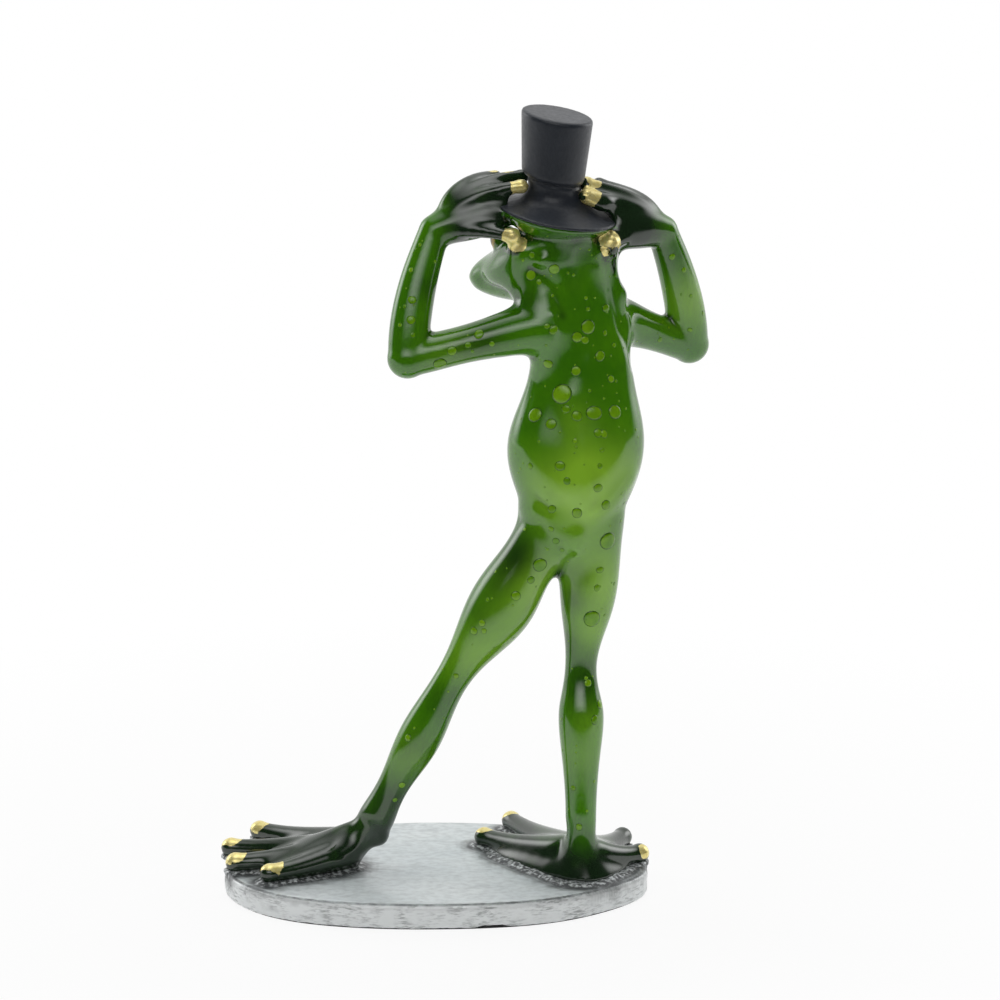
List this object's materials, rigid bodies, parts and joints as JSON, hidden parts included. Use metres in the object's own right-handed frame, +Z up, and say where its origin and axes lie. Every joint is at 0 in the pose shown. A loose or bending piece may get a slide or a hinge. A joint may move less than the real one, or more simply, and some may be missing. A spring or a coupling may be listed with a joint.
{
  "type": "frog figurine",
  "caption": "Glossy standing frog figurine that holds its top hat on with both hands, seen turning its head, on an oval silver base with a felt underside.",
  "frame": {"origin": "on the surface it stands on, under the middle of the oval base", "axes": "+Z up, +Y the way the frog's chest faces, +X towards the frog's right hand"},
  "size_m": [0.1483, 0.0804, 0.2396],
  "materials": {
    "frog_skin": "clear-lacquered candy green, dark on hands and feet",
    "hat_black": "matte charcoal paint",
    "base_silver": "antique silver paint with a dark wash",
    "felt": "short black felt",
    "steel": "drawn wire"
  },
  "bodies": {
    "root": {"felt_pad": "felt", "base_plinth": "base_silver", "left_leg": "frog_skin", "right_leg": "frog_skin", "torso": "frog_skin", "head": "frog_skin", "left_arm": "frog_skin", "right_arm": "frog_skin", "hat": "hat_black", "left_leg_wire": "steel", "right_leg_wire": "steel", "left_arm_wire": "steel", "right_arm_wire": "steel", "neck_pin": "steel", "hat_pin": "steel"}
  },
  "joints": []
}
